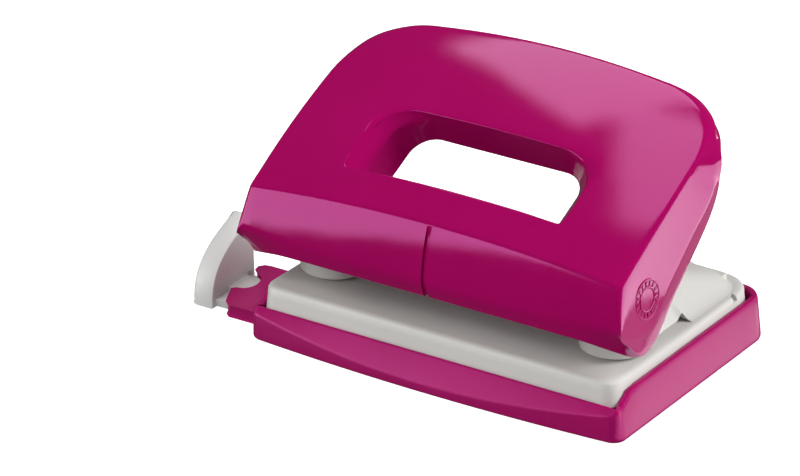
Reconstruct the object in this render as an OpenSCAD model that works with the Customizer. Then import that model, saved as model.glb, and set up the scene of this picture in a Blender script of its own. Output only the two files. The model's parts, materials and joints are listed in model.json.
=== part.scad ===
// Two-hole office punch with a chip tray, a sliding paper guide and a cut-through handle.
// Millimetres. +X along the front edge, +Y to the rear, +Z up.
// Origin: on the tray's underside, midway between the two punches.

/* [Punching] */
// Distance between the two holes
hole_spacing = 80; // [80]
// Diameter of each hole
hole_d = 5.5; // [5:0.5:6]
// Distance from the hole centres back to the paper stop
hole_inset = 12; // [11:0.5:13]
// Height of the paper slot
slot_h = 1.3; // [1:0.1:1.6]

/* [Chip tray] */
// Width of the tray
tray_w = 106; // [105:1:108]
// Front edge of the tray at mid width, ahead of the origin
tray_front = 35.5; // [35.5:0.5:37]
// Rear edge of the tray, behind the origin
tray_rear = 38.5; // [38:0.5:39]
// Height of the side and rear rim
rim_z = 11.5; // [11:0.5:11.5]
// Height of the front rim
front_rim_z = 8.6; // [8:0.2:9]
// Thickness of the tray's floor
tray_floor = 1.6; // [1.2:0.2:2]

/* [Punch body] */
// Width of the deck
deck_w = 100.4; // [99.4:0.2:100.8]
// Height of the paper table
table_z = 14.2; // [14:0.1:14.4]
// Wall thickness of the deck and its housing
body_wall = 2.2; // [2:0.1:2.4]
// Radius of each punch nose
nose_r = 9.6; // [9:0.1:10]
// Height of the housing's top face
housing_z = 24; // [23:0.5:24]

/* [Handle] */
// Width of the handle over its cheeks
handle_w = 109; // [107:0.5:110]
// Wall thickness of the handle
handle_wall = 2.5; // [2.2:0.1:2.7]
// Height of the handle's pivot axis
pivot_z = 33.7; // [33.7]
// Pivot axis ahead of the origin
pivot_front = 22.7; // [22.7]
// How far the handle turns when it is pressed, in degrees
handle_travel = 30; // [20:1:30]

/* [Paper guide] */
// Distance from the middle to the guide's stop face when it is pushed in
guide_stop = 70; // [70:1:74]
// Thickness of the guide's end plate
guide_plate = 5; // [4:0.5:5]
// Height of the guide's end plate
guide_h = 19; // [14:0.5:20]

/* [Hidden] */
$fn = 64;

magenta = [0.62, 0.08, 0.36];
light_grey = [0.86, 0.86, 0.84];
steel = [0.72, 0.73, 0.75];

eps = 0.01;
far = 200;                                  // longer than the whole object
run_gap = 0.05;                             // radial clearance of every running fit
slip_gap = 0.3;                             // gap between large faces that slide past each other

// Punch axes
punch_x = hole_spacing / 2;
punch_r = hole_d / 2;
stop_y = -2.4;                              // paper stop
punch_y = stop_y - hole_inset;
slot_top = table_z + slot_h;
punch_tip_z = slot_top + 0.2;               // the tip waits just above the slot
punch_top_z = 36;
cap_z = 33.8;                               // underside of the spring's retaining cap
cap_t = 1.6;
cap_r = 4.5;
pad_r = 3;                                  // radius of the pressing face on each pad

// Tray
wall = 2;
tray_corner = 6;
bow = 2.5;                                  // how far the front edge bows forward
bow_r = (pow(tray_w / 2 - 2, 2) + bow * bow) / (2 * bow);
cavity_x = deck_w / 2 + 0.4;
cavity_front = 31.8;
cavity_rear = tray_rear - 1.6;
facet_foot_z = 2.6;                         // lower edge of the sloping front facet, at mid width
facet_top_y = -32.4;

// Rail of the paper guide and its dovetail tunnel under the tray
rail_front = -25.2;
rail_rear = -8.7;
rail_undercut = 1;
rail_z0 = 0.3;
rail_z1 = 2.6;
rail_end = 27;
roof_z = 4.2;
tab_end = -67;
tab_front = -27.6;
tab_rear = -7.6;
notch_r = 4.3;
notch_y = -15.3;

// Hinge between the tray and the punch body
hinge_y = 36.2;
hinge_z = 12.2;
hinge_x = 28;
hinge_pin_r = 0.8;
knuckle_r = 1.7;
knuckle_half = 3;                           // half length of the body's knuckle
lug_end = 6;                                // outer face of the tray's lugs, from hinge_x

// Punch body
deck_front = 31.4;
deck_rear = 36.6;
deck_skirt_z = 8.2;
deck_corner = 6;
flank_foot_x = 47.2;                        // the housing's flanks lean inward from here
flank_top_x = 39;
housing_front_y = -6;
housing_back_y = 34.6;
housing_back_z = 16.2;
housing_fall_y = 6;                         // the top starts to fall to the rear here

// Bracket and axle
bracket_t = 1.5;
plate_z = housing_z + bracket_t;
ear_x = 46.4;                               // outer face of each ear
axle_r = 2;
axle_half = 51.6;
clip_t = 0.8;
boss_x = 47.6;                              // inner face of the handle's bosses
boss_r = 5.5;
cap_disc_r = 4.7;
cap_seat_x = 51.75;
pivot_y = -pivot_front;

// Handle: its top is a barrel, curved front to rear and crowned side to side
top_r = 258.9;                              // front-to-rear radius at mid width
barrel_y = 104.5;
barrel_z = -175.6;
crown_r = 470;
handle_rear = 24.2;
corner_r = 22;
opening_tilt = 25.6;                        // slope of the handle's top at the hand opening
opening_y = -15.3;
opening_z = 55.4;
opening_half_x = 24.5;
opening_half_y = 9.8;
opening_corner = 7;
opening_depth = 11;

// --- Shared shapes -------------------------------------------------------------------------------

// Rectangle with four round corners
module round_rect(x0, y0, x1, y1, r) {
  translate([x0 + r, y0]) square([x1 - x0 - 2 * r, y1 - y0]);
  translate([x0, y0 + r]) square([x1 - x0, y1 - y0 - 2 * r]);
  for (x = [x0 + r, x1 - r], y = [y0 + r, y1 - r]) translate([x, y]) circle(r);
}

// Outline drawn in Y and Z, made solid from x0 to x1
module along_x(x0, x1) {
  translate([x0, 0, 0]) rotate([90, 0, 90]) linear_extrude(x1 - x0) children();
}

// Outline drawn in X and Z, made solid from y0 to y1
module along_y(y0, y1) {
  translate([0, y1, 0]) rotate([90, 0, 0]) linear_extrude(y1 - y0) children();
}

// Rod along X, from x0 to x1
module rod_x(r, x0, x1, y, z) {
  translate([x0, y, z]) rotate([0, 90, 0]) cylinder(r = r, h = x1 - x0);
}

module box(low, high) {
  translate(low) cube(high - low);
}

// Puts children on the left (-1) or the right (+1); they are drawn for the right
module side(s) {
  mirror([s < 0 ? 1 : 0, 0, 0]) children();
}

// Pan-head screw pointing down, its head resting on z = 0
module screw(shaft_r, length) {
  translate([0, 0, -length]) cylinder(r = shaft_r, h = length);
  difference() {
    cylinder(r = shaft_r * 2, h = 1.4);
    for (a = [0, 90]) rotate(a) translate([-1.8, -0.3, 0.7]) cube([3.6, 0.6, 2]);
  }
}

// Points of a quarter ellipse in Y and Z, from the floor at the front to the top at the rear
function quarter(y0, z0, a, b, n) =
  [for (i = [0:n]) [y0 - a * cos(90 * i / n), z0 + b * sin(90 * i / n)]];

// --- Chip tray -----------------------------------------------------------------------------------

module tray_plan() {
  intersection() {
    round_rect(-tray_w / 2, -tray_front, tray_w / 2, tray_rear, tray_corner);
    translate([0, bow_r - tray_front]) circle(bow_r, $fn = 180);
  }
}

// Front facet and the step from the low front rim up to the side rim
module tray_side_outline() {
  polygon([[-tray_front - 1, 0], [tray_rear, 0], [tray_rear, rim_z], [-27, rim_z], [-30, front_rim_z],
           [facet_top_y, front_rim_z], [-tray_front, facet_foot_z], [-tray_front - 1, facet_foot_z]]);
}

module rail_outline(gap) {
  polygon([[rail_front + rail_undercut - gap, -1], [rail_rear - rail_undercut + gap, -1],
           [rail_rear - rail_undercut + gap, rail_z0], [rail_rear + gap, rail_z1 + gap],
           [rail_front - gap, rail_z1 + gap], [rail_front + rail_undercut - gap, rail_z0]]);
}

// Window tab around the guide's rail, with a round notch open to the left
module guide_tab() {
  difference() {
    along_x(tab_end, -tray_w / 2 + wall)
      polygon([[tab_front, 0], [tab_rear, 0], [tab_rear, 5.6], [tab_front, 3.3]]);
    translate([tab_end + 1, notch_y, -1]) cylinder(r = notch_r, h = 9);
  }
}

module tray_hinge_lugs() {
  for (s = [-1, 1], x = [hinge_x - lug_end, hinge_x + knuckle_half + 0.2]) side(s) {
    rod_x(knuckle_r, x, x + lug_end - knuckle_half - 0.2, hinge_y, hinge_z);
    box([x, hinge_y, rim_z - 2], [x + lug_end - knuckle_half - 0.2, tray_rear - 0.6, hinge_z]);
  }
}

module chip_tray() color(magenta) difference() {
  union() {
    difference() {
      intersection() {
        linear_extrude(rim_z) tray_plan();
        along_x(-tray_w / 2, tray_w / 2) tray_side_outline();
      }
      translate([0, 0, tray_floor]) linear_extrude(far)
        round_rect(-cavity_x, -cavity_front, cavity_x, cavity_rear, tray_corner - wall);
    }
    box([-cavity_x - eps, tab_front, tray_floor - eps], [rail_end + 4, tab_rear, roof_z]);
    guide_tab();
    tray_hinge_lugs();
  }
  along_x(tab_end - 1, rail_end + 2) rail_outline(slip_gap);
  for (s = [-1, 1]) side(s) {
    rod_x(hinge_pin_r, hinge_x - lug_end - 1, hinge_x + lug_end + 1, hinge_y, hinge_z);
    rod_x(knuckle_r + slip_gap, hinge_x - knuckle_half - 0.2, hinge_x + knuckle_half + 0.2,
          hinge_y, hinge_z);
  }
  box([leaf_x - leaf_half - 0.5, leaf_y - 2, rail_z1], [leaf_x + leaf_half + 0.5, leaf_y + 2, roof_z + 1]);
}

module tray_hinge_pin(s) color(steel)
  side(s) rod_x(hinge_pin_r, hinge_x - lug_end, hinge_x + lug_end, hinge_y, hinge_z);

// Bowed steel leaf that presses on the guide's rail and holds it where it is put
leaf_x = -30;
leaf_y = -17;
leaf_half = 9;
leaf_t = 0.3;
leaf_r = 34;
module guide_leaf_spring() color(steel)
  intersection() {
    along_y(leaf_y - 1.6, leaf_y + 1.6) difference() {
      translate([leaf_x, rail_z1 + 0.05 + leaf_r]) circle(leaf_r, $fn = 128);
      translate([leaf_x, rail_z1 + 0.05 + leaf_r]) circle(leaf_r - leaf_t, $fn = 128);
    }
    box([leaf_x - leaf_half, leaf_y - 2, rail_z1], [leaf_x + leaf_half, leaf_y + 2, rail_z1 + 5]);
  }

// --- Paper guide ---------------------------------------------------------------------------------

module paper_guide() color(light_grey) {
  intersection() {
    along_x(-guide_stop, rail_end) rail_outline(0);
    box([-far, -far, rail_z0], [far, far, rail_z1]);
  }
  along_x(-guide_stop - guide_plate, -guide_stop)
    polygon(concat([[rail_rear + 1.2, rail_z0]], quarter(rail_rear + 1.2, rail_z0, 18.8, guide_h - rail_z0, 14)));
}

// --- Punch body ----------------------------------------------------------------------------------

module deck_plan(inset) {
  round_rect(-deck_w / 2 + inset, -deck_front + inset, deck_w / 2 - inset, deck_rear - inset,
             deck_corner - inset);
}

module housing_side_outline() {
  polygon([[housing_front_y, slot_top], [stop_y, slot_top], [stop_y, table_z - eps],
           [housing_back_y, table_z - eps], [housing_back_y, housing_back_z],
           [housing_fall_y, housing_z], [housing_front_y, housing_z]]);
}

module housing_front_outline() {
  polygon([[-flank_foot_x, table_z - eps], [flank_foot_x, table_z - eps], [flank_top_x, housing_z],
           [-flank_top_x, housing_z]]);
}

module body_outer() {
  translate([0, 0, deck_skirt_z]) linear_extrude(table_z - deck_skirt_z) deck_plan(0);
  intersection() {
    along_x(-far, far) housing_side_outline();
    along_y(-far, far) housing_front_outline();
  }
  for (x = [-punch_x, punch_x])
    translate([x, punch_y, slot_top]) cylinder(r = nose_r, h = housing_z - slot_top);
}

module body_hollow() {
  translate([0, 0, deck_skirt_z - 1]) linear_extrude(table_z - body_wall - deck_skirt_z + 1)
    deck_plan(body_wall);
  along_x(-flank_top_x + body_wall, flank_top_x - body_wall)
    polygon([[stop_y + body_wall, table_z - body_wall - eps], [stop_y + body_wall, housing_z - body_wall],
             [housing_fall_y, housing_z - body_wall], [housing_back_y - body_wall, housing_back_z - body_wall],
             [housing_back_y - body_wall, table_z - body_wall - eps]]);
}

module punch_body() color(light_grey) difference() {
  union() {
    difference() {
      body_outer();
      body_hollow();
    }
    for (s = [-1, 1]) side(s) {
      rod_x(knuckle_r, hinge_x - knuckle_half, hinge_x + knuckle_half, hinge_y, hinge_z);
      box([hinge_x - knuckle_half, hinge_y - 3.4, hinge_z - knuckle_r],
          [hinge_x + knuckle_half, hinge_y, hinge_z + knuckle_r]);
    }
  }
  for (s = [-1, 1]) side(s) {
    // Guide bore in the nose, chip hole through the deck
    translate([punch_x, punch_y, slot_top - 1]) cylinder(r = punch_r + run_gap, h = far);
    translate([punch_x, punch_y, 0]) cylinder(r = punch_r + 0.5, h = table_z + 0.5);
    // Relief at the rear end of the paper slot
    box([flank_top_x + 5.5, stop_y - 1, table_z], [far, 6.5, slot_top]);
    // Notches for the tray's hinge lugs, then the hinge bore
    for (x = [hinge_x - lug_end - 0.3, hinge_x + knuckle_half])
      box([x, hinge_y - 2.2, deck_skirt_z - 1], [x + lug_end - knuckle_half + 0.3, far, housing_z]);
    rod_x(hinge_pin_r + run_gap, hinge_x - far, hinge_x + far, hinge_y, hinge_z);
    // Screw holes for the bracket and the die plate
    for (x = bracket_screw_x) translate([x, bracket_screw_y, 0]) cylinder(r = 1.2, h = far);
    for (y = die_screw_y) translate([die_screw_x, y, table_z - body_wall - 1]) cylinder(r = 1.2, h = 2.4);
  }
}

// Hardened plate under the table, with the two dies
die_z = table_z - body_wall - 2;
die_screw_x = 30;
die_screw_y = [-20, -9];
module die_plate() color(steel) difference() {
  box([-46, -24, die_z], [46, -4.5, die_z + 2]);
  for (x = [-punch_x, punch_x]) translate([x, punch_y, 0]) cylinder(r = punch_r + run_gap, h = far);
  for (x = [-die_screw_x, die_screw_x], y = die_screw_y) translate([x, y, 0]) cylinder(r = 1.2, h = far);
}

module die_plate_screws() color(steel)
  for (x = [-die_screw_x, die_screw_x], y = die_screw_y)
    translate([x, y, die_z]) rotate([180, 0, 0]) screw(1.2, 3.2);

// --- Pivot bracket and axle ----------------------------------------------------------------------

bracket_screw_x = [14, 31];
bracket_screw_y = -1;
module pivot_bracket() color(steel) difference() {
  union() {
    box([-ear_x, -20.5, housing_z], [ear_x, 2.5, plate_z]);
    for (s = [-1, 1]) side(s) along_x(ear_x - bracket_t, ear_x)
      polygon([[-20.5, housing_z], [-4, housing_z], [-4, plate_z + 1], [pivot_y + 4.4, pivot_z + 4.4],
               [pivot_y - 4.4, pivot_z + 4.4], [pivot_y - 4.4, pivot_z - 4.4]]);
  }
  rod_x(axle_r, -far, far, pivot_y, pivot_z);
  for (x = [-punch_x, punch_x]) translate([x, punch_y, 0]) cylinder(r = punch_r + 0.3, h = far);
  for (s = [-1, 1], x = bracket_screw_x) translate([s * x, bracket_screw_y, 0]) cylinder(r = 1.2, h = far);
}

module bracket_screws() color(steel)
  for (s = [-1, 1], x = bracket_screw_x) translate([s * x, bracket_screw_y, plate_z]) screw(1.2, 4.5);

module pivot_axle() color(steel) rod_x(axle_r, -axle_half, axle_half, pivot_y, pivot_z);

module axle_clip(s) color(steel) side(s) difference() {
  rod_x(axle_r + 1.7, ear_x + 0.05, ear_x + 0.05 + clip_t, pivot_y, pivot_z);
  rod_x(axle_r, 0, far, pivot_y, pivot_z);
}

// --- Handle --------------------------------------------------------------------------------------

// Solid under the crowned top: a barrel turned about an axis along X
module barrel(r) {
  translate([0, barrel_y, barrel_z]) rotate([0, 90, 0]) rotate_extrude($fn = 360)
    intersection() {
      translate([0, -70]) square([r + 1, 140]);
      translate([r - crown_r, 0]) circle(crown_r, $fn = 720);
    }
}

module handle_plan(inset) {
  w = handle_w / 2 - inset;
  rear = handle_rear - inset;
  translate([-w, -40]) square([2 * w, 40 + rear - corner_r + inset]);
  translate([-w + corner_r - inset, -40]) square([2 * (w - corner_r + inset), 40 + rear]);
  for (s = [-1, 1]) translate([s * (w - corner_r + inset), rear - corner_r + inset]) circle(corner_r - inset, $fn = 96);
}

// Side view of the whole handle: front lip, cheek tip, rising rear edge and rear skirt
module handle_side_outline() {
  polygon([[-36, 28.6], [-33.1, 24.6], [-26, 20.2], [-23.5, 19.6], [-20.3, 19.8], [-17.2, 22.1],
           [9.4, 47.8], [11.8, 53.5], [16, 57.5], [handle_rear, 59], [handle_rear, 80], [-28, 80],
           [-32.5, 44.6]]);
}

module handle_inner_outline() {
  polygon([[-31, 0], [-31, 24.4], [-33.4, 29], [-30, 43.6], [-30, 80], [handle_rear - handle_wall, 80],
           [handle_rear - handle_wall, 0]]);
}

module opening_outline(grow) {
  round_rect(-opening_half_x - grow, -opening_half_y - grow, opening_half_x + grow, opening_half_y + grow,
             opening_corner + grow);
}

// Prism square to the handle's top at the hand opening, reaching down by depth
module opening_prism(grow, depth) {
  translate([0, opening_y, opening_z]) rotate([opening_tilt, 0, 0]) translate([0, 0, -depth])
    linear_extrude(depth + 12) opening_outline(grow);
}

module handle_outer() {
  intersection() {
    along_x(-handle_w / 2, handle_w / 2) handle_side_outline();
    linear_extrude(80) handle_plan(0);
    barrel(top_r);
  }
}

module handle_shell() color(magenta) difference() {
  union() {
    difference() {
      handle_outer();
      intersection() {
        along_x(-far, far) handle_inner_outline();
        linear_extrude(80) handle_plan(handle_wall);
        barrel(top_r - handle_wall);
      }
    }
    intersection() {
      opening_prism(handle_wall, opening_depth);
      handle_outer();
    }
    for (s = [-1, 1]) side(s) {
      rod_x(boss_r, boss_x, handle_w / 2 - 1, pivot_y, pivot_z);
      intersection() {
        box([punch_x - 4, punch_y - 3, pad_seat_z], [punch_x + 4, punch_y + 3, 80]);
        handle_outer();
      }
    }
  }
  opening_prism(0, opening_depth + 1);
  for (s = [-1, 1]) side(s) {
    rod_x(axle_r + run_gap, 0, cap_seat_x + eps, pivot_y, pivot_z);
    rod_x(cap_disc_r, cap_seat_x, far, pivot_y, pivot_z);
  }
}

module axle_cap(s) color(magenta) side(s) {
  rod_x(cap_disc_r, cap_seat_x, handle_w / 2, pivot_y, pivot_z);
  difference() {
    rod_x(cap_disc_r - 0.4, handle_w / 2 - eps, handle_w / 2 + 0.25, pivot_y, pivot_z);
    rod_x(cap_disc_r - 1.4, 0, far, pivot_y, pivot_z);
  }
}

// Pad under the handle that pushes the punch down; its lower face is round
pad_seat_z = 42.4;
module press_pad(s) color(steel) side(s) {
  pad_z = punch_top_z + 0.1 + pad_r;
  rod_x(pad_r, punch_x - 4, punch_x + 4, punch_y, pad_z);
  box([punch_x - 4, punch_y - pad_r, pad_z], [punch_x + 4, punch_y + pad_r, pad_seat_z]);
}

// --- Punches and their springs -------------------------------------------------------------------

module punch(s) color(steel) side(s)
  translate([punch_x, punch_y, punch_tip_z]) difference() {
    cylinder(r = punch_r, h = punch_top_z - punch_tip_z);
    // Hollow-ground cutting end
    translate([-punch_r - 1, 0, -5.4]) rotate([90, 0, 90]) cylinder(r = 6, h = 2 * punch_r + 2);
  }

module spring_cap(s) color(steel) side(s)
  translate([punch_x, punch_y, cap_z]) difference() {
    cylinder(r = cap_r, h = cap_t);
    translate([0, 0, -1]) cylinder(r = punch_r, h = cap_t + 2);
  }

// Helical compression spring swept along its coil
spring_r = 3.7;
wire_r = 0.42;
spring_turns = 4.5;
ring_sides = 8;
rings_per_turn = 16;
function coil_point(a, h, k, phi) =
  let (rise = h * k, c = spring_r + wire_r * cos(phi))
  [c * cos(a), c * sin(a), rise + wire_r * sin(phi)];
module coil(h) {
  n = round(spring_turns * rings_per_turn);
  points = [for (i = [0:n], j = [0:ring_sides - 1])
    coil_point(360 * spring_turns * i / n, h, i / n, 360 * j / ring_sides)];
  sides = [for (i = [0:n - 1], j = [0:ring_sides - 1])
    let (a = i * ring_sides, b = a + ring_sides, k = (j + 1) % ring_sides)
    [a + j, a + k, b + k, b + j]];
  ends = [[for (j = [ring_sides - 1:-1:0]) j], [for (j = [0:ring_sides - 1]) n * ring_sides + j]];
  polyhedron(points, concat(sides, ends));
}
module punch_spring(s) color(steel) side(s)
  translate([punch_x, punch_y, plate_z + wire_r + 0.05]) coil(cap_z - plate_z - 2 * wire_r - 0.1);

chip_tray();
tray_hinge_pin(-1);  // tray_hinge_pin_left
tray_hinge_pin(1);  // tray_hinge_pin_right
guide_leaf_spring();
paper_guide();
punch_body();
die_plate();
die_plate_screws();
pivot_bracket();
bracket_screws();
pivot_axle();
axle_clip(-1);  // axle_clip_left
axle_clip(1);  // axle_clip_right
handle_shell();
axle_cap(-1);  // axle_cap_left
axle_cap(1);  // axle_cap_right
press_pad(-1);  // press_pad_left
press_pad(1);  // press_pad_right
punch(-1);  // punch_left
punch(1);  // punch_right
spring_cap(-1);  // spring_cap_left
spring_cap(1);  // spring_cap_right
punch_spring(-1);  // punch_spring_left
punch_spring(1);  // punch_spring_right
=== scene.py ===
"""Looks of a two-hole office punch: a glossy handle with a hand opening, a light grey punch body,
a satin chip tray and a sliding paper guide. Sizes are in millimetres until a mesh is made."""

import json
import math

import bmesh
import bpy
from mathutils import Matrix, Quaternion, Vector


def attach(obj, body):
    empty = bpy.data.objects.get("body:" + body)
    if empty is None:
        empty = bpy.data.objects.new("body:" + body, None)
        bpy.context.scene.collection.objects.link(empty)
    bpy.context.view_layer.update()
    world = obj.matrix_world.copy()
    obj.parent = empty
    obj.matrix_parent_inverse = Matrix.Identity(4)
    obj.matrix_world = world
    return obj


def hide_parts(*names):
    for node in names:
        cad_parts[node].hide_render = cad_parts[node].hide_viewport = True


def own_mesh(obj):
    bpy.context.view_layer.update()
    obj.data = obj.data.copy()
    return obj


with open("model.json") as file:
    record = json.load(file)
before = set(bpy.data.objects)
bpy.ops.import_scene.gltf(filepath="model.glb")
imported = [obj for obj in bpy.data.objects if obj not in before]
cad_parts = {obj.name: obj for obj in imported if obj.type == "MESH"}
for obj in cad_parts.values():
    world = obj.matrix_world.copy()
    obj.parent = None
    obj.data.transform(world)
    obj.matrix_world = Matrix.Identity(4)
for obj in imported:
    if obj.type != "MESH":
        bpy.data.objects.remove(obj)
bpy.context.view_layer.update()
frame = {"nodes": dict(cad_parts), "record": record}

MM = 0.001


# --- Points and curves ------------------------------------------------------------------------------


def lerp(a, b, t):
    """Point between a and b."""
    return tuple(p + (q - p) * t for p, q in zip(a, b))


def mix(a, b, t):
    """Number between a and b."""
    return a + (b - a) * t


def smooth(t):
    """Smooth step from 0 to 1."""
    t = max(0.0, min(1.0, t))
    return t * t * (3 - 2 * t)


def bezier(points, t):
    """Point of a Bezier curve with any number of control points."""
    while len(points) > 1:
        points = [lerp(a, b, t) for a, b in zip(points, points[1:])]
    return points[0]


def line(a, b):
    return lambda t: lerp(a, b, t)


def curve(*points):
    return lambda t: bezier(list(points), t)


def arc(cx, cy, r, a0, a1):
    """Arc in the plane, from angle a0 to a1 in degrees."""

    def at(t):
        a = math.radians(mix(a0, a1, t))
        return (cx + r * math.cos(a), cy + r * math.sin(a))

    return at


def through(points):
    """Smooth curve through the points, a Catmull-Rom spline with even parameters."""
    last = len(points) - 1

    def at(t):
        s = max(0.0, min(1.0, t)) * last
        i = min(int(s), last - 1)
        u = s - i
        p1, p2 = points[i], points[i + 1]
        p0 = points[i - 1] if i else lerp(p2, p1, 2)
        p3 = points[i + 2] if i + 2 <= last else lerp(p1, p2, 2)
        return tuple(
            b
            + 0.5 * (c - a) * u
            + 0.5 * (2 * a - 5 * b + 4 * c - d) * u**2
            + 0.5 * (3 * b - a - 3 * c + d) * u**3
            for a, b, c, d in zip(p0, p1, p2, p3)
        )

    return at


def toward(a, b, r):
    """Point at distance r from a toward b."""
    d = math.dist(a, b)
    return lerp(a, b, min(0.48, r / d) if d > 1e-9 else 0)


def fillet(before, corner, after, r, n=4):
    """Points that round a corner."""
    ends = [toward(corner, before, r), corner, toward(corner, after, r)]
    return [bezier(ends, i / n) for i in range(n + 1)]


def rounded(corners, radii, n=4):
    """Open path with its inner corners rounded."""
    path = [corners[0]]
    for before, corner, after, r in zip(corners, corners[1:], corners[2:], radii):
        path += fillet(before, corner, after, r, n)
    return path + [corners[-1]]


def rounded_loop(corners, radii, n=5):
    """Closed path with rounded corners."""
    count = len(corners)
    path = []
    for i, corner in enumerate(corners):
        path += fillet(corners[i - 1], corner, corners[(i + 1) % count], radii[i % len(radii)], n)
    return path


# --- Meshes -----------------------------------------------------------------------------------------


class Shape:
    """Vertices and faces of one piece, gathered from lofts."""

    def __init__(self):
        self.verts = []
        self.faces = []

    def loft(self, rings, wrap=False):
        """Skins closed rings; wrap joins the last ring to the first, otherwise both ends are capped."""
        start, count, size = len(self.verts), len(rings), len(rings[0])
        for ring in rings:
            self.verts += [tuple(p) for p in ring]
        for i in range(count if wrap else count - 1):
            a = start + i * size
            b = start + ((i + 1) % count) * size
            for j in range(size):
                k = (j + 1) % size
                self.faces.append((a + j, a + k, b + k, b + j))
        if not wrap:
            self.faces.append(tuple(range(start + size - 1, start - 1, -1)))
            last = start + (count - 1) * size
            self.faces.append(tuple(range(last, last + size)))
        return self

    def add(self, other):
        """Adds a copy of another shape."""
        start = len(self.verts)
        self.verts += other.verts
        self.faces += [tuple(start + i for i in f) for f in other.faces]
        return self

    def mirrored(self):
        """Adds a copy of everything, mirrored in X."""
        start = len(self.verts)
        self.verts += [(-x, y, z) for x, y, z in self.verts]
        self.faces += [tuple(start + i for i in reversed(f)) for f in list(self.faces)]
        return self

    def mesh(self, name):
        mesh = bpy.data.meshes.new(name)
        mesh.from_pydata([tuple(c * MM for c in v) for v in self.verts], [], self.faces)
        shape = bmesh.new()
        shape.from_mesh(mesh)
        bmesh.ops.remove_doubles(shape, verts=shape.verts, dist=1e-6)
        bmesh.ops.dissolve_degenerate(shape, edges=shape.edges, dist=1e-7)
        bmesh.ops.recalc_face_normals(shape, faces=shape.faces)
        shape.to_mesh(mesh)
        shape.free()
        return mesh


def piece(name, shape, material, body, replaces=(), sharp=35):
    """Makes an object from a Shape, or from a finished mesh, and hangs it on its body."""
    mesh = shape.mesh(name) if isinstance(shape, Shape) else shape
    for polygon in mesh.polygons:
        polygon.use_smooth = True
    mesh.set_sharp_from_angle(angle=math.radians(sharp))
    mesh.materials.clear()
    mesh.materials.append(material)
    obj = bpy.data.objects.new(name, mesh)
    bpy.context.scene.collection.objects.link(obj)
    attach(obj, body)
    if replaces:
        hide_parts(*replaces)
    return obj


def cut(name, shape, cutters, join=()):
    """Mesh of a shape with other shapes joined to it and cutters taken away."""
    base = bpy.data.objects.new(name + "_base", shape.mesh(name))
    bpy.context.scene.collection.objects.link(base)
    tools = []
    for kind, parts in (("UNION", join), ("DIFFERENCE", cutters)):
        for i, part in enumerate(parts):
            tool = bpy.data.objects.new(f"{name}_{kind}_{i}", part.mesh(f"{name}_{kind}_{i}"))
            bpy.context.scene.collection.objects.link(tool)
            tools.append(tool)
            modifier = base.modifiers.new(f"{kind}_{i}", "BOOLEAN")
            modifier.operation = kind
            modifier.solver = "EXACT"
            modifier.object = tool
    graph = bpy.context.evaluated_depsgraph_get()
    mesh = bpy.data.meshes.new_from_object(base.evaluated_get(graph))
    for obj in [base, *tools]:
        bpy.data.objects.remove(obj)
    return mesh


# --- Materials --------------------------------------------------------------------------------------


def linear(*rgb):
    """Linear colour of an sRGB colour given in 0 to 255."""
    return tuple(((c / 255 + 0.055) / 1.055) ** 2.4 if c > 10 else c / 255 / 12.92 for c in rgb) + (1.0,)


class Nodes:
    """Small helper that adds nodes to a material and links them."""

    def __init__(self, name):
        self.material = bpy.data.materials.new(name)
        self.material.use_nodes = True
        self.tree = self.material.node_tree
        self.shader = self.tree.nodes["Principled BSDF"]
        self.coords = self.tree.nodes.new("ShaderNodeTexCoord").outputs["Object"]

    def add(self, kind):
        return self.tree.nodes.new(kind)

    def link(self, source, target):
        self.tree.links.new(source, target)

    def noise(self, scale, detail=3.0, rough=0.55):
        node = self.add("ShaderNodeTexNoise")
        node.inputs["Scale"].default_value = scale
        node.inputs["Detail"].default_value = detail
        node.inputs["Roughness"].default_value = rough
        self.link(self.coords, node.inputs["Vector"])
        return node.outputs["Fac"]

    def ramp(self, factor, low, high, dark, light):
        """Colour or grey that goes from dark to light as factor goes from low to high."""
        node = self.add("ShaderNodeValToRGB")
        for element, place, tone in zip(node.color_ramp.elements, (low, high), (dark, light)):
            element.position = place
            element.color = tone if isinstance(tone, tuple) else (tone, tone, tone, 1)
        self.link(factor, node.inputs["Fac"])
        return node.outputs["Color"]

    def bump(self, height, strength, distance, normal=None):
        node = self.add("ShaderNodeBump")
        node.inputs["Strength"].default_value = strength
        node.inputs["Distance"].default_value = distance
        self.link(height, node.inputs["Height"])
        if normal is not None:
            self.link(normal, node.inputs["Normal"])
        return node.outputs["Normal"]


def plastic(name, tone, shade, rough, grain, grain_depth, tint=(1, 1, 1, 1)):
    """Moulded plastic: slight colour drift, uneven gloss and a fine grain."""
    n = Nodes(name)
    n.link(n.ramp(n.noise(28, 2), 0.35, 0.65, shade, tone), n.shader.inputs["Base Color"])
    low, high = rough
    n.link(n.ramp(n.noise(420, 3), 0.3, 0.7, low, high), n.shader.inputs["Roughness"])
    wave = n.bump(n.noise(60, 1), 0.12, 0.0004)
    n.link(n.bump(n.noise(grain, 2, 0.6), 0.35, grain_depth, wave), n.shader.inputs["Normal"])
    n.shader.inputs["Specular Tint"].default_value = tint
    return n.material


def metal(name, tone, shade, rough, stretch):
    """Plated or ground steel with fine lines along the stretched axis."""
    n = Nodes(name)
    n.shader.inputs["Metallic"].default_value = 1
    mapping = n.add("ShaderNodeMapping")
    mapping.inputs["Scale"].default_value = stretch
    n.link(n.coords, mapping.inputs["Vector"])
    lines = n.add("ShaderNodeTexNoise")
    lines.inputs["Scale"].default_value = 900
    lines.inputs["Detail"].default_value = 4
    n.link(mapping.outputs["Vector"], lines.inputs["Vector"])
    n.link(n.ramp(n.noise(150, 3), 0.35, 0.65, shade, tone), n.shader.inputs["Base Color"])
    n.link(n.ramp(lines.outputs["Fac"], 0.3, 0.7, *rough), n.shader.inputs["Roughness"])
    n.link(n.bump(lines.outputs["Fac"], 0.25, 0.00003), n.shader.inputs["Normal"])
    return n.material


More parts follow.
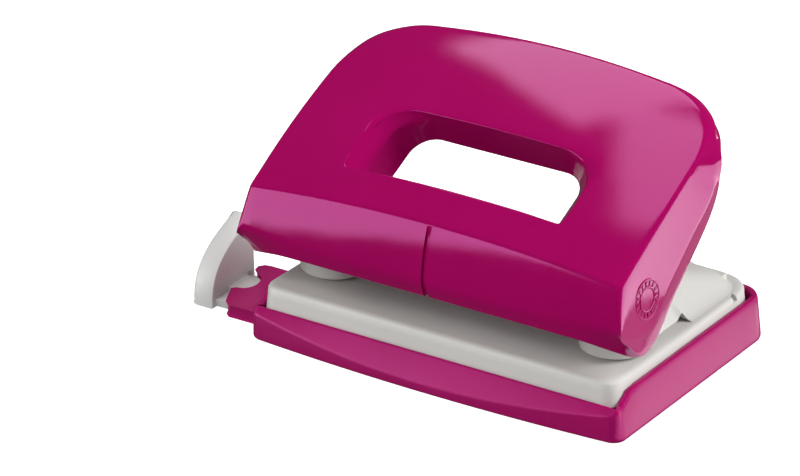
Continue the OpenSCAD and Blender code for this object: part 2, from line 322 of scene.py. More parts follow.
GLOSS_TINT = (1.0, 0.32, 0.9, 1)     # the coloured plastic tints its own reflections

MATERIALS = {
    "magenta_gloss": plastic("magenta_gloss", linear(173, 6, 97), linear(168, 5, 93), (0.05, 0.085), 2600,
                             0.00002, GLOSS_TINT),
    "magenta_satin": plastic("magenta_satin", linear(173, 8, 99), linear(167, 7, 95), (0.28, 0.36), 1900,
                             0.00004, GLOSS_TINT),
    "body_grey": plastic("body_grey", linear(221, 220, 216), linear(217, 216, 211), (0.42, 0.5), 1700,
                         0.00005),
    "guide_grey": plastic("guide_grey", linear(221, 221, 219), linear(216, 216, 213), (0.4, 0.5), 1700,
                          0.00005),
    "steel": metal("steel", linear(196, 198, 202), linear(178, 180, 184), (0.24, 0.4), (0.05, 1, 1)),
    "screw_steel": metal("screw_steel", linear(176, 178, 182), linear(150, 152, 156), (0.25, 0.42),
                         (1, 1, 1)),
    "punch_steel": metal("punch_steel", linear(206, 208, 212), linear(188, 190, 194), (0.12, 0.25),
                         (1, 1, 0.06)),
}


# --- Handle -----------------------------------------------------------------------------------------

HALF_W = 52.0
CROWN = 3.2                     # the top's middle stands this much higher than its sides


def top(x, y):
    """Height of the handle's crowned top."""
    return 58.0 + 0.45 * y - 0.0027 * y * y + CROWN * (1 - (x / HALF_W) ** 2)


TILT = math.radians(25.6)       # slope of the top where the hand opening is
OPEN_Y, OPEN_Z = -15.3, 55.4    # middle of the opening
WALL_W = -11.1                  # the opening's wall ends this far below the slope
FRONT_V, REAR_V = -10.8, 9.3    # the opening's front and rear wall, measured along the slope
FRONT_Y, FRONT_W = -32.7, 51.1  # the crease between the top and the front, and its half width


def opening_point(x, v, w):
    """Point in the opening's own frame: v up the slope, w square to it."""
    c, s = math.cos(TILT), math.sin(TILT)
    return (x, OPEN_Y + v * c - w * s, OPEN_Z + v * s + w * c)


def below_top(x, v, depth):
    """Point at a depth under the top, square to the opening's slope."""
    w = 0.0
    for _ in range(6):
        _, y, z = opening_point(x, v, w)
        w += top(x, y) - z
    return opening_point(x, v, w - depth)


def on_top(p):
    return (p[0], p[1], top(p[0], p[1]))


# Each outline of the handle runs from the middle of the front, round the right, to the middle of the
# rear, in five stretches: front, front corner, side, rear corner, rear.
CREASE = (
    line((0, FRONT_Y), (FRONT_W, FRONT_Y)),
    curve((FRONT_W, FRONT_Y), (52.25, FRONT_Y), (52.3, -31.5)),
    curve((52.3, -31.5), (52.65, -16), (51.7, 0)),
    arc(31.4, 0, 20.3, 0, 90),
    curve((31.4, 20.3), (15.7, 21.5), (0, 21.5)),
)
RIM = (
    line((0, -24.1), (29.4, -24.1)),
    arc(29.4, -22.9, 1.2, -90, 0),
    curve((30.6, -22.9), (31.4, -19), (30.9, -14.5)),
    curve((30.9, -14.5), (30.0, -9.5), (27.0, -6.3), (20.5, -6.3)),
    line((20.5, -6.3), (0, -6.3)),
)
RIDGE = (
    line((0, FRONT_V), (27.6, FRONT_V)),
    arc(27.6, FRONT_V + 0.9, 0.9, -90, 0),
    line((28.5, FRONT_V + 0.9), (28.5, 2.0)),
    curve((28.5, 2.0), (28.0, 6.5), (24.0, REAR_V), (18, REAR_V)),
    line((18, REAR_V), (0, REAR_V)),
)
FOOT = (
    line((0, FRONT_V), (22.6, FRONT_V)),
    arc(22.6, FRONT_V + 2.2, 2.2, -90, 0),
    line((24.8, FRONT_V + 2.2), (24.8, 2.8)),
    arc(18.3, 2.8, 6.5, 0, 90),
    line((18.3, REAR_V), (0, REAR_V)),
)

# Lower edge of the cheeks, from the front tip round the rear corner to the middle of the rear
SIDE_X = 54.3       # outer face of the cheeks at their lower edge
CHEEK_EDGE = through([(-26.1, 20.5), (-22.2, 20.4), (-18.6, 21.9), (-15.3, 25.0), (-12.0, 28.6),
                      (-7.8, 32.3), (-3.4, 36.1), (0.9, 39.8), (4.8, 43.5), (7.8, 47.5), (9.7, 52.0)])
REAR_EDGE = through([(SIDE_X, 9.7, 52.0), (54.2, 10.8, 55.4), (53.2, 12.0, 58.0), (51.2, 15.0, 59.8),
                     (47.6, 18.7, 60.9), (42.0, 22.2, 61.5), (33.0, 24.0, 61.6)])


def flare(x):
    """The front widens below the crease, toward the cheeks."""
    return x + 1.6 * (x / FRONT_W) ** 6


def front_edge(x):
    """Lower edge of the front: straight, then sweeping down and back to the cheek's tip."""
    if x < 40:
        return (x, -34.5, 24.9)
    sweep = [(-34.5, 24.9), (-34.5, 24.9), (-33.6, 24.2), (-32.2, 23.0), (-30.4, 21.9)]
    y, z = bezier(sweep, (x - 40) / 12.7)
    return (x, y, z)


def belly(x):
    """Foremost line of the front, just above its lower edge."""
    k = (x / HALF_W) ** 2
    return (x, -36 + 0.75 * k, 28.6 + 1.1 * k)


CHEEK_FRONT = (SIDE_X, -35.6, 28.6)
BAND = 5.0          # width of the band along the cheek's edge
BAND_REAR = 3.0     # its width where the cheek meets the rear corner
BAND_TURN = 0.5     # the band turns in this far
FRONT_SWELL = 1.3   # the front bows out between the crease and the belly
GROOVE_HALF = 0.55  # half width of the moulding groove in the middle of the front
GROOVE_DEPTH = 0.7
GROOVE_TOP = 0.9    # the groove starts this far below the crease
SLOPE_DEPTH = 4.2   # the sloping rim of the opening goes this deep at the sides
REAR_DEPTH = 0.95   # and this deep at the rear
WALL_POINTS = 13    # points of a section that belong to the opening's wall


def station(stretch, t):
    """The six main points of the handle's section and its fillet radii, at one place of the outline."""
    crease = on_top(CREASE[stretch](t))
    rim = on_top(RIM[stretch](t))
    rx, rv = RIDGE[stretch](t)
    fx, fv = FOOT[stretch](t)
    foot = opening_point(fx, fv, WALL_W)
    if stretch == 0:
        depth = mix(1.0, SLOPE_DEPTH, smooth((rx - 20) / 7.6))
        lower, edge = belly(flare(crease[0])), front_edge(flare(crease[0]))
        radii = (0.4, 0.6, 0.7, 1.3, 0.7)
        bulge = 0.05
    elif stretch == 1:
        depth = SLOPE_DEPTH
        lower = bezier([belly(flare(FRONT_W)), (SIDE_X, -35.4, 29.6), CHEEK_FRONT], t)
        edge = bezier([front_edge(flare(FRONT_W)), (SIDE_X - 0.2, -28.4, 20.7), (SIDE_X, -26.1, 20.5)], t)
        radii = (0.4, 0.4, mix(0.7, 0.9, t), mix(1.3, 0.3, t), 0.7)
        bulge = 0.05 * (1 - t)
    else:
        if stretch == 2:
            depth = mix(SLOPE_DEPTH, 3.2, smooth((t - 0.3) / 0.7))
            band = mix(BAND, BAND_REAR, smooth((t - 0.65) / 0.35))
            edge = (SIDE_X, *CHEEK_EDGE(t))
            radii = (0.4, 0.4, 0.9, 0.3 + 0.5 * smooth(t * 6), 0.35)
            bulge = 0.0
        elif stretch == 3:
            depth = mix(3.2, REAR_DEPTH, smooth(t))
            band = mix(BAND_REAR, 2.2, smooth(4 * t))
            edge = REAR_EDGE(t)
            soft = math.sin(math.pi * min(1, t * 1.05))
            radii = (mix(0.4, 0.7, t), mix(0.4, 1.1, t) + 2.4 * soft, 0.9, 1.2, 0.6)
            bulge = smooth(t * 1.6)
        else:
            depth = REAR_DEPTH
            band = 2.2
            x, _ = CREASE[4](t)
            edge = (x * 33.0 / 31.4, 24.2 - 0.2 * (x / 31.4) ** 2, 61.6)
            radii = (0.7, 1.1, 0.9, 1.2, 0.6)
            bulge = 1.0
        lower = toward(edge, crease, band)
        if stretch == 2:
            w = smooth(t / 0.16)
            lower = lerp(CHEEK_FRONT, lower, w)
            lower = (SIDE_X - 0.2 * w, lower[1], lower[2])
            edge = (edge[0] - BAND_TURN * w, edge[1], edge[2])
        else:
            out = Vector((edge[0] - 15 * min(1, edge[0] / 30), edge[1], 0)).normalized()
            edge = (edge[0] - BAND_TURN * out.x, edge[1] - BAND_TURN * out.y, edge[2])
    return foot, below_top(rx, rv, depth), rim, crease, lower, edge, radii, bulge


def section(stretch, t):
    """Closed section of the handle's wall, from the opening's foot over the top and back inside."""
    foot, ridge, rim, crease, lower, edge, radii, bulge = station(stretch, t)
    flat = math.dist(rim[:2], crease[:2])
    start, end = min(0.3, radii[1] / flat), 1 - min(0.3, radii[2] / flat)

    def top_at(s):
        x, y = lerp(rim[:2], crease[:2], s)
        return (x, y, top(x, y))

    out = Vector((crease[0] - rim[0], crease[1] - rim[1], 0)).normalized()
    shoulder = lerp(crease, lower, 0.5)
    if stretch < 2:
        swell = FRONT_SWELL * (1 if stretch == 0 else 1 - t)
        shoulder = (shoulder[0], shoulder[1] - swell, shoulder[2])
    if bulge:
        square = (lower[0], lower[1], mix(lower[2], crease[2], 0.72))
        shoulder = lerp(shoulder, square, bulge)
    wall = [crease, shoulder, lower]
    wall_len = math.dist(crease, lower)
    w0, w1 = min(0.3, radii[2] / wall_len), 1 - min(0.3, radii[3] / wall_len)
    path = [lerp(foot, ridge, i / 5) for i in range(5)]
    path += fillet(foot, ridge, rim, radii[0])
    path += [lerp(ridge, rim, mix(0.3, 0.7, i / 2)) for i in range(3)]
    rounding = [toward(rim, ridge, radii[1]), rim, top_at(start)]
    path += [bezier(rounding, i / 6) for i in range(7)]
    path += [top_at(mix(start, end, i / 24)) for i in range(1, 24)]
    rounding = [top_at(end), crease, bezier(wall, w0)]
    path += [bezier(rounding, i / 5) for i in range(6)]
    path += [bezier(wall, mix(w0, w1, i / 12)) for i in range(1, 12)]
    rounding = [bezier(wall, w1), lower, toward(lower, edge, radii[3])]
    path += [bezier(rounding, i / 5) for i in range(6)]
    under = (edge[0] - 2.0 * out.x, edge[1] - 2.0 * out.y, edge[2] + 0.5)
    path += [lerp(toward(lower, edge, radii[3]), toward(edge, lower, radii[4]), i / 3) for i in range(1, 3)]
    path += fillet(lower, edge, under, radii[4])
    path += [
        under,
        (crease[0] - 2.7 * out.x, crease[1] - 2.7 * out.y, crease[2] - 4.0),
        (crease[0] - 4.4 * out.x, crease[1] - 4.4 * out.y, crease[2] - 2.9),
        tuple(Vector(top_at(0.5)) - Vector((0, 0, 2.7))),
        (rim[0] + 1.9 * out.x, rim[1] + 1.9 * out.y, rim[2] - 3.0),
        (ridge[0] + 2.0 * out.x, ridge[1] + 2.0 * out.y, ridge[2] - 1.6),
        (foot[0] + 2.0 * out.x, foot[1] + 2.0 * out.y, foot[2] + 0.3),
    ]
    return path


def with_groove(path, x):
    """Presses the moulding groove into the front, below the crease, for a section near the middle."""
    if abs(x) > GROOVE_HALF + 0.02:
        return path
    start_z = top(0, FRONT_Y) - GROOVE_TOP
    made = []
    for px, py, pz in path:
        if py < FRONT_Y + 1.3 and pz < start_z:
            fade = smooth((start_z - pz) / 1.4)
            py += GROOVE_DEPTH * fade
            pz += 0.6 * GROOVE_DEPTH * smooth((30 - pz) / 4)
        made.append((px, py, pz))
    return made


def handle_sections():
    front_x = [0, 0.35, GROOVE_HALF, GROOVE_HALF + 0.12, 1.6]
    front_x += [4 + (FRONT_W - 4) * i / 22 for i in range(22)]
    half = [with_groove(section(0, x / FRONT_W), x) for x in front_x]
    for stretch, count in ((1, 6), (2, 30), (3, 30), (4, 16)):
        half += [section(stretch, i / count) for i in range(count)]
    half.append(section(4, 1))
    left = [narrowed([(-x, y, z) for x, y, z in path]) for path in half[-2:0:-1]]
    return half + left


def narrowed(path):
    """The opening's left wall stands a little nearer the middle than its right wall."""
    made = []
    for i, (x, y, z) in enumerate(path):
        inward = 0.09 * smooth((top(x, y) - z - 0.5) / 3) if i < WALL_POINTS else 0
        made.append((x * (1 - inward), y, z))
    return made


def circle(sides):
    """Cosine and sine all the way round."""
    return [(math.cos(2 * math.pi * i / sides), math.sin(2 * math.pi * i / sides)) for i in range(sides)]


def rod(x0, x1, r, y, z, bevel=0.5, sides=48):
    """Rings of a rod along X with beveled ends."""

    def ring(x, radius):
        return [(x, y + radius * c, z + radius * s) for c, s in circle(sides)]

    return [ring(x0, r - bevel), ring(x0 + bevel, r), ring(x1 - bevel, r), ring(x1, r - bevel)]


def rectangle(x0, x1, y0, y1, z):
    """Corners of a level rectangle."""
    return [(x0, y0, z), (x1, y0, z), (x1, y1, z), (x0, y1, z)]


def block(x0, x1, y0, y1, z0, z1, bevel):
    """Rings of an upright box with rounded edges."""

    def ring(inset, z):
        return rounded_loop(rectangle(x0 + inset, x1 - inset, y0 + inset, y1 - inset, z), [bevel])

    return [ring(bevel, z0), ring(0.3 * bevel, z0 + 0.3 * bevel), ring(0, z0 + bevel), ring(0, z1 - bevel),
            ring(0.3 * bevel, z1 - 0.3 * bevel), ring(bevel, z1)]


PIVOT_Y, PIVOT_Z = -22.7, 33.7
PUNCH_X, PUNCH_Y = 40, -14.4
CAP_X = 53.35                   # the cheek's face at the pivot
CAP_SLOPE = (0.037, -0.076)     # how far it leans out for each millimetre of Y and Z
TICKS, TICK_HALF = 16, 0.3      # number and half width of the emblem's ticks
TICK_R = (3.35, 4.35)           # they run between these radii


def inner_details():
    """Boss behind the pivot's cap and the seat of the pad that presses on the punch."""
    boss = rod(47.6, 51.5, 5.5, PIVOT_Y, PIVOT_Z)
    seat = block(PUNCH_X - 4, PUNCH_X + 4, PUNCH_Y - 3, PUNCH_Y + 3, 42.4, 48.2, 0.4)
    return Shape().loft(boss).loft(seat).mirrored()


def handle():
    shape = Shape().loft(handle_sections(), wrap=True).add(inner_details())
    piece("handle_cover", shape, MATERIALS["magenta_gloss"], "handle", ["handle_shell"])


def emblem(side):
    """Embossed ring with short ticks on the pivot's cap, lying on the cheek's leaning face."""

    def place(relief, dy, dz):
        lean = CAP_SLOPE[0] * dy + CAP_SLOPE[1] * dz
        return (side * (CAP_X + relief + lean), PIVOT_Y + dy, PIVOT_Z + dz)

    rings = ((-1.2, 5.1), (0, 5.1), (0.22, 5.0), (0.3, 4.8), (0.26, 4.6), (0.05, 4.45),
             (0.05, 3.25), (0.26, 3.1), (0.32, 2.9), (0.26, 2.7), (0.02, 2.55))
    shape = Shape().loft([[place(relief, r * c, r * s) for c, s in circle(72)] for relief, r in rings])
    for c, s in circle(TICKS):
        tick = []
        for relief, inset in ((0, 0), (0.22, 0), (0.3, 0.07)):
            corners = rectangle(TICK_R[0] + inset, TICK_R[1] - inset, inset - TICK_HALF, TICK_HALF - inset, 0)
            tick.append([place(relief, u * c - v * s, u * s + v * c) for u, v, _ in corners])
        shape.loft(tick)
    name = "axle_cap_left" if side < 0 else "axle_cap_right"
    piece(name.replace("axle", "pivot"), shape, MATERIALS["magenta_gloss"], "handle", [name])


# --- Chip tray --------------------------------------------------------------------------------------

TRAY_X, TRAY_FRONT, TRAY_REAR = 53.0, -36.0, 38.5
FRONT_CORNER, REAR_CORNER = 3.6, 8.0
LEAN = 1.15         # the side walls lean in from foot to rim
RIM_Z, FRONT_RIM_Z = 11.5, 8.6
FLOOR_Z = 1.7
HINGE_Y, HINGE_Z = 36.2, 12.2
TAB_FRONT, TAB_REAR = -26.7, -7.6
NOTCH_X, NOTCH_Y, NOTCH_R = -66.7, -15.4, 4.3
RAIL_FRONT, RAIL_REAR = -24.2, -9.7     # foot of the dovetail rail, which widens upward
RAIL_FLARE = 1.0
RAIL_Z = (0.3, 2.6)


def tray_outline():
    """Stations round the tray: plan point, outward direction and whether it belongs to the front."""
    half = []
    for i in range(26):
        x = (TRAY_X - FRONT_CORNER) * i / 25
        half.append((x, TRAY_FRONT + 2.0 * (x / 50) ** 2))
    front_y = half[-1][1] + FRONT_CORNER
    front_turn = arc(TRAY_X - FRONT_CORNER, front_y, FRONT_CORNER, -85, 0)
    half += [front_turn(i / 16) for i in range(1, 17)]
    half += [(TRAY_X, mix(front_y, TRAY_REAR - REAR_CORNER, i / 16)) for i in range(1, 16)]
    rear_turn = arc(TRAY_X - REAR_CORNER, TRAY_REAR - REAR_CORNER, REAR_CORNER, 0, 90)
    half += [rear_turn(i / 14) for i in range(15)]
    half += [((TRAY_X - REAR_CORNER) * (1 - i / 8), TRAY_REAR) for i in range(1, 9)]
    points = half + [(-x, y) for x, y in half[-2:0:-1]]
    made = []
    for i, (x, y) in enumerate(points):
        ax, ay = points[i - 1]
        bx, by = points[(i + 1) % len(points)]
        out = Vector((by - ay, ax - bx)).normalized()
        made.append((x, y, out.x, out.y))
    return made


def tray_section(x, y, nx, ny):
    """Open section of the tray at one station, from the floor outside to the floor inside."""
    frontness = smooth((-0.2 - ny) / 0.7) if y < 0 else 0.0
    rim = mix(RIM_Z, FRONT_RIM_Z, smooth((-25.5 - y) / 5.5))
    lean = LEAN * (1 - frontness)
    foot_z = mix(rim - 0.8, 2.6 + 4.1 * (x / 48) ** 2, frontness)
    rim_in = mix(LEAN + 0.35, max(0.6, -32.5 - y), frontness)
    inner = mix(2.75, max(1.3, -31.9 - y), frontness)
    corners = [(4.5, 0.0), (0.0, 0.0), (lean * foot_z / rim, foot_z), (rim_in, rim), (inner, rim),
               (inner + 0.1, FLOOR_Z), (4.5, FLOOR_Z)]
    path = rounded(corners, (1.0, 0.5, 0.4, 0.35, 1.0), 5)
    return [(x - nx * o, y - ny * o, z) for o, z in path]


def rail_prism(gap, x0, x1, cut_z=None):
    """Rings of the guide's dovetail rail, or of its tunnel, which has a gap and goes down to cut_z."""
    z0, z1 = RAIL_Z[0], RAIL_Z[1] + gap
    low = (RAIL_FRONT - gap, RAIL_REAR + gap)
    high = (low[0] - RAIL_FLARE, low[1] + RAIL_FLARE)
    profile = [(low[0], z0), (low[1], z0), (high[1], z1), (high[0], z1)]
    if cut_z is not None:
        profile = [(low[0], cut_z), (low[1], cut_z), *profile[1:], profile[0]]
    return [[(x, y, z) for y, z in profile] for x in (x0, x1)]


def tab_rings():
    """Rings of the window tab, with a round notch open to the left and a hooked rear horn."""
    outline = [(-50, TAB_FRONT), (-50, TAB_REAR)]
    outline += [(-64.6, TAB_REAR), (-66.3, -7.9), (-67.2, -8.9), (-67.0, -10.2)]
    outline += [arc(NOTCH_X, NOTCH_Y, NOTCH_R, 78, -88)(i / 20) for i in range(21)]
    outline += [(-67.2, -20.3), (-66.6, -21.7), (-65.7, -23.8), (-64.9, -25.6), (-63.6, TAB_FRONT)]

    def ring(inset, lift):
        made = []
        for i, (x, y) in enumerate(outline):
            ax, ay = outline[i - 1]
            bx, by = outline[(i + 1) % len(outline)]
            inward = Vector((by - ay, ax - bx)).normalized() * inset
            z = mix(3.3, 5.6, (y - TAB_FRONT) / (TAB_REAR - TAB_FRONT))
            made.append((x + inward.x, y + inward.y, lift(z)))
        return made

    return [ring(0.4, lambda z: 0), ring(0, lambda z: 0.4), ring(0, lambda z: z - 0.5),
            ring(0.15, lambda z: z - 0.15), ring(0.5, lambda z: z)]


def tray():
    stations = tray_outline()
    shape = Shape()
    rings = [tray_section(*s) for s in stations]
    size = len(rings[0])
    for ring in rings:
        shape.verts += ring
    count = len(rings)
    for i in range(count):
        a, b = i * size, ((i + 1) % count) * size
        for j in range(size - 1):
            shape.faces.append((a + j, a + j + 1, b + j + 1, b + j))
    shape.faces.append(tuple(i * size for i in range(count)))
    shape.faces.append(tuple(i * size + size - 1 for i in reversed(range(count))))
    roof = Shape().loft(block(-49.9, 31, TAB_FRONT, TAB_REAR, 1.0, 4.2, 0.5))
    tab = Shape().loft(tab_rings())
    tunnel = Shape().loft(rail_prism(0.3, -80, 29, -2))
    mesh = cut("tray_shell", shape, [tunnel], [roof, tab])
    piece("tray_shell", mesh, MATERIALS["magenta_satin"], "tray", ["chip_tray"])
    for side in (-1, 1):
        lugs = Shape()
        for x0 in (22.0, 31.2):
            lugs.loft(rod(x0, x0 + 2.8, 1.4, HINGE_Y, HINGE_Z - 0.1, 0.25, 28))
            lugs.loft(block(x0, x0 + 2.8, HINGE_Y - 0.6, HINGE_Y + 1.6, 8.5, HINGE_Z + 0.2, 0.25))
        if side < 0:
            lugs.verts = [(-x, y, z) for x, y, z in lugs.verts]
        name = "hinge_lugs_left" if side < 0 else "hinge_lugs_right"
        piece(name, lugs, MATERIALS["magenta_satin"], "tray")


# --- Paper guide ------------------------------------------------------------------------------------


def guide():
    """Sliding stop: a quarter-ellipse end plate on a dovetail rail, with a round foot in the notch."""
    foot_z, rear = RAIL_Z[0], -8.2
    rise = [curve((-26.3, foot_z), (-26.8, 10.8), (-19.6, 15.2), (rear, 19.0))(i / 28) for i in range(29)]
    outline = rise[:-1] + fillet(rise[-2], rise[-1], (rear, foot_z), 0.3) + [(rear, 8), (rear, foot_z)]

    def ring(x, inset):
        made = []
        for i, (y, z) in enumerate(outline):
            ay, az = outline[i - 1]
            by, bz = outline[(i + 1) % len(outline)]
            inward = Vector((bz - az, ay - by))
            inward = inward.normalized() * inset if inward.length else inward
            made.append((x, y + inward.x, max(foot_z, z + inward.y)))
        return made

    rings = ((-75, 0.5), (-74.85, 0.3), (-74.5, 0.1), (-73.9, 0), (-69.4, 0), (-69.2, 0.1), (-69.1, 0.3))
    plate = Shape().loft([ring(x, inset) for x, inset in rings])
    rail = Shape().loft(rail_prism(0, -71, 27))
    end = [arc(NOTCH_X - 0.2, NOTCH_Y, NOTCH_R - 0.4, 80, -80)(i / 16) for i in range(17)]
    end = [(-72, NOTCH_Y + 3.9)] + end + [(-72, NOTCH_Y - 3.9)]
    foot = Shape().loft([[(x, y, z) for x, y in end] for z in (foot_z, 4.0)])
    mesh = cut("guide_plate", plate, [], [rail, foot])
    piece("guide_plate", mesh, MATERIALS["guide_grey"], "guide", ["paper_guide"])


# --- Punch body -------------------------------------------------------------------------------------

DECK_X, DECK_FRONT, DECK_REAR, TABLE_Z = 50.0, -31.5, 36.2, 14.2
NOSE_R = 8.7
HOUSING_FRONT, HOUSING_REAR, HOUSING_Z = -6.0, 32.0, 24
SLOPE_Z = 16.3      # above this the housing's rear slopes forward
SLOT_Z = 15.2       # roof of the paper slot
SLOT_END = 6.0      # the slot ends here at the sides
BORE_R = 3.1


def deck_rings():
    """Rings of the paper table: a shallow block whose front and sides fall steeply to the rim."""

    def ring(inset, z):
        x = DECK_X - inset
        corners = rectangle(-x, x, DECK_FRONT + inset * 1.1, DECK_REAR - inset, z)
        return rounded_loop(corners, [4.0, 4.0, 11.0, 11.0], 10)

    rings = ((2.4, 9.0), (2.2, 7.0), (0.3, 7.0), (-0.3, 8.0), (0.0, 11.5), (0.1, 13.3), (0.35, 13.8),
             (0.8, 14.1), (1.6, TABLE_Z))
    return [ring(inset, z) for inset, z in rings]


def flank_x(z):
    """Half width of the housing, which narrows upward."""
    return mix(47.2, 39.0, (z - TABLE_Z) / (HOUSING_Z - TABLE_Z))


def housing_ring(z, inset):
    """Plan of the housing at one height, with the two round noses."""
    front = HOUSING_FRONT + inset
    half = [(0, front), (20, front), (30, front)]
    half += fillet((30, front), (33.5, front), (34.5, front - 3.0), 2.6, 5)
    half += [arc(PUNCH_X, PUNCH_Y, NOSE_R - inset, 150, 400)(i / 30) for i in range(31)]
    x = flank_x(z) - inset
    rear = mix(HOUSING_REAR, 12.0, max(0, z - SLOPE_Z) / (HOUSING_Z - SLOPE_Z)) - inset
    corner = mix(4.0, 10.0, (rear - 12) / 20)
    last = half[-1]
    half += [lerp(last, (x, -2.0), k) for k in (0.5, 1.0)]
    half += [(x, min(-2.0 + 0.5 * k, rear - corner)) for k in range(1, 21)]
    half += [(x, mix(half[-1][1], rear - corner, 0.5))]
    half += fillet((x, rear - 2.1 * corner), (x, rear), (x - 2.1 * corner, rear), corner, 8)
    half += [(mix(x - corner, 0, k / 4), rear) for k in range(1, 5)]
    left = [(-px, py) for px, py in half[-2:0:-1]]
    return [(px, py, z) for px, py in half + left]


def blended_ring(z, inset, foot_z, foot_inset):
    """Ring that floats over the paper slot in front and runs down into the table behind it."""
    made = []
    for p, q in zip(housing_ring(z, inset), housing_ring(foot_z, foot_inset)):
        lift = 1.2 * smooth((p[1] - SLOT_END + 2.4) / 2.0) * smooth((17.2 - z) / 1.6)
        made.append(lerp((p[0], p[1], z + lift), q, smooth((p[1] - SLOT_END) / 0.9)))
    return made


def body():
    """Deck and housing, each with the punches' bores, and the paper stop with the hinge knuckles."""
    bores = Shape()
    for x in (-PUNCH_X, PUNCH_X):
        bores.loft([[(x + BORE_R * c, PUNCH_Y + BORE_R * s, z) for c, s in circle(40)] for z in (8, 30)])
    slits = Shape().loft(block(48.4, 51, 24.0, 25.6, 12.7, 14.3, 0.1)).mirrored()
    deck = cut("punch_deck", Shape().loft(deck_rings()), [bores, slits])

    lower = ((SLOT_Z, 3.0, 15.0, 3.0), (SLOT_Z, 0.5, 14.1, -1.2), (SLOT_Z, 0.4, TABLE_Z, -1.0),
             (15.25, 0.25, 14.4, -0.6), (15.35, 0.1, 14.8, -0.3), (15.7, 0, 15.9, 0))
    upper = ((17.5, 0), (19.5, 0), (21.5, 0), (23.2, 0), (23.6, 0.1), (23.9, 0.35), (HOUSING_Z, 0.8))
    rings = [blended_ring(*row) for row in lower] + [housing_ring(z, inset) for z, inset in upper]
    housing = cut("punch_housing", Shape().loft(rings), [bores])

    stop = Shape().loft(block(-43.5, 43.5, -2.4, 32.0, 13.5, 16.0, 0.4))
    knuckles = Shape().loft(rod(25, 31, 1.7, HINGE_Y, HINGE_Z, 0.25, 28))
    knuckles.loft(block(25, 31, 33.0, HINGE_Y + 1.4, 9.0, HINGE_Z + 0.2, 0.25))
    stop.add(knuckles.mirrored())

    grey = MATERIALS["body_grey"]
    piece("punch_deck", deck, grey, "punch_unit", ["punch_body"])
    piece("punch_housing", housing, grey, "punch_unit")
    piece("paper_stop", stop, grey, "punch_unit")


# --- Springs ----------------------------------------------------------------------------------------


def spring(side):
    """Compression spring with closed, ground end turns."""
    turns, wire, coil_r, low, high = 6.0, 0.42, 3.7, 25.55, 33.75
    steps = 240
    end_turn = 0.06     # share of the height taken by the closed turn at each end
    rings = []
    for i in range(steps + 1):
        t = i / steps
        a = 2 * math.pi * turns * t
        ends = min(1, t * turns) + max(0, t * turns - turns + 1)
        middle = smooth((t - 0.1) / 0.8)
        rise = mix(low + wire, high - wire, end_turn * ends + (1 - 2 * end_turn) * middle)
        ring = []
        for c, s in circle(10):
            r = coil_r + wire * c
            ring.append((side * PUNCH_X + r * math.cos(a), PUNCH_Y + r * math.sin(a), rise + wire * s))
        rings.append(ring)
    name = "left" if side < 0 else "right"
    obj = piece(f"coil_spring_{name}", Shape().loft(rings), MATERIALS["punch_steel"], "punch_unit",
                [f"punch_spring_{name}"], 60)
    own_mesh(obj)


# --- Carried-over parts -----------------------------------------------------------------------------


def finish_cad_nodes():
    """Gives every CAD part that stays visible its material and slightly broken edges."""
    slots = {row["node"]: row["material_slot"] for row in frame["record"]["subparts"]}
    for name, obj in frame["nodes"].items():
        if obj.hide_render:
            continue
        obj.data.materials.clear()
        obj.data.materials.append(MATERIALS[slots[name]])
        weld = obj.modifiers.new("weld", "WELD")
        weld.merge_threshold = 1e-6
        bevel = obj.modifiers.new("bevel", "BEVEL")
        bevel.width = 0.00012
        bevel.segments = 2
        bevel.limit_method = "ANGLE"
        bevel.angle_limit = math.radians(40)


# --- Studio -----------------------------------------------------------------------------------------


def camera():
    data = bpy.data.cameras.new("camera")
    data.lens = 204.8
    data.sensor_width = 36
    data.shift_x, data.shift_y = -0.1321, 0.0322
    data.clip_end = 30
    obj = bpy.data.objects.new("camera", data)
    azimuth, elevation, distance = math.radians(32.705), math.radians(25.453), 1.101
    back = Vector((math.sin(azimuth) * math.cos(elevation), -math.cos(azimuth) * math.cos(elevation),
                   math.sin(elevation)))
    obj.location = Vector((0, 0, 0.02)) + back * distance
    obj.rotation_mode = "QUATERNION"
    obj.rotation_quaternion = back.to_track_quat("Z", "Y")
    bpy.context.scene.collection.objects.link(obj)
    bpy.context.scene.camera = obj


def area_light(name, place, target, size, radiance, spin=0.0, card=False):
    """Rectangular light of a given radiance; a card shows only in reflections, a lamp never does."""
    data = bpy.data.lights.new(name, "AREA")
    data.shape = "RECTANGLE"
    data.size, data.size_y = size
    data.energy = radiance * math.pi * size[0] * size[1]
    obj = bpy.data.objects.new(name, data)
    obj.location = place
    aim = Vector(place) - Vector(target)
    obj.rotation_mode = "QUATERNION"
    obj.rotation_quaternion = Quaternion(aim.normalized(), math.radians(spin)) @ aim.to_track_quat("Z", "Y")
    obj.visible_camera = False
    obj.visible_diffuse = not card
    obj.visible_glossy = card
    bpy.context.scene.collection.objects.link(obj)


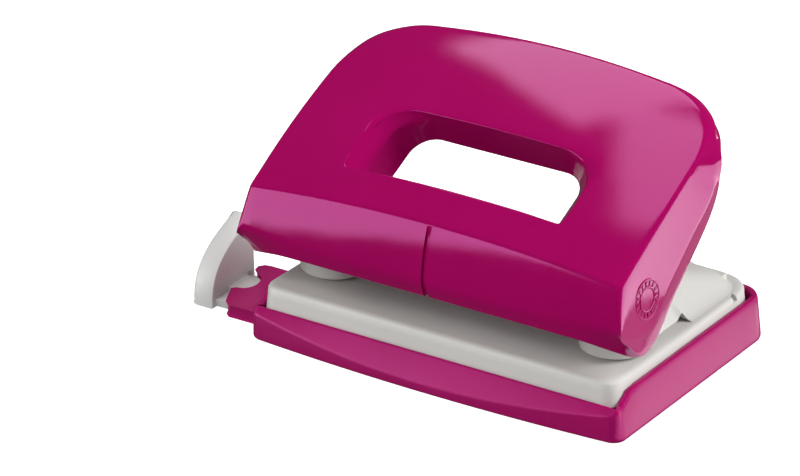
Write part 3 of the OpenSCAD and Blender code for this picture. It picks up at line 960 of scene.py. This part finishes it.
def floor():
    n = Nodes("floor_white")
    tone = n.ramp(n.noise(3), 0.4, 0.6, linear(244, 244, 244), linear(247, 247, 247))
    n.link(tone, n.shader.inputs["Base Color"])
    n.link(n.ramp(n.noise(30), 0.4, 0.6, 0.85, 0.95), n.shader.inputs["Roughness"])
    n.shader.inputs["Specular IOR Level"].default_value = 0.0
    n.shader.inputs["Emission Color"].default_value = (1, 1, 1, 1)
    n.shader.inputs["Emission Strength"].default_value = 0.8
    shape = Shape()
    shape.verts = rectangle(-4000, 4000, -4000, 4000, 0)
    shape.faces = [(0, 1, 2, 3)]
    mesh = shape.mesh("floor")
    mesh.materials.append(n.material)
    obj = bpy.data.objects.new("floor", mesh)
    obj.location.z = -0.00002
    obj.visible_glossy = False
    obj.visible_diffuse = False
    obj.visible_shadow = False
    bpy.context.scene.collection.objects.link(obj)


# Name, place, target, size and radiance, in metres
LAMPS = (
    ("key_right", (1.0, 0.6, 0.6), (0, 0, 0.03), (0.8, 0.6), 12),
    ("key_front", (-0.25, -1.1, 0.9), (0, 0, 0.03), (1.2, 1.0), 3.5),
    ("key_top", (-0.5, -0.1, 1.2), (0, 0, 0.03), (1.0, 1.0), 1.45),
    ("bounce", (0, 0, -0.02), (0, 0, 1), (1.6, 1.6), 0.35),
)

# The same and the turn about the line of sight, in degrees
CARDS = (
    ("card_top", (-0.60, 0.62, 1.25), (-0.60, 0.62, 0), (0.5, 0.5), 4.0, -37),
    ("card_rear", (-0.25, 0.25, 1.25), (-0.25, 0.25, 0), (0.4, 0.4), 3.7, 19),
    ("card_front", (-1.045, -0.935, 0.19), (-0.395, 0.195, 0.19), (0.9, 1.0), 4.5, -22),
    ("card_side", (0.405, 0.42, 0.003), (0.405, 0.42, 1), (0.6, 0.76), 4.2, 0),
    ("card_gap", (0.089, 0.06, 0.002), (0.089, 0.06, 1), (0.032, 0.24), 0.65, 0),
    ("card_low", (0.0632, 0.010, 0.0005), (0.0632, 0.010, 1), (0.0198, 0.09), 1.8, 0),
)


def studio():
    world = bpy.data.worlds.new("studio")
    world.use_nodes = True
    world.node_tree.nodes["Background"].inputs["Color"].default_value = (1, 1, 1, 1)
    world.node_tree.nodes["Background"].inputs["Strength"].default_value = 0.06
    bpy.context.scene.world = world
    bpy.context.scene.view_settings.view_transform = "Standard"
    for name, place, target, size, radiance in LAMPS:
        area_light(name, place, target, size, radiance)
    for name, place, target, size, radiance, spin in CARDS:
        area_light(name, place, target, size, radiance, spin, card=True)


camera()
floor()
studio()
handle()
for hand in (-1, 1):
    emblem(hand)
tray()
guide()
body()
for hand in (-1, 1):
    spring(hand)
finish_cad_nodes()
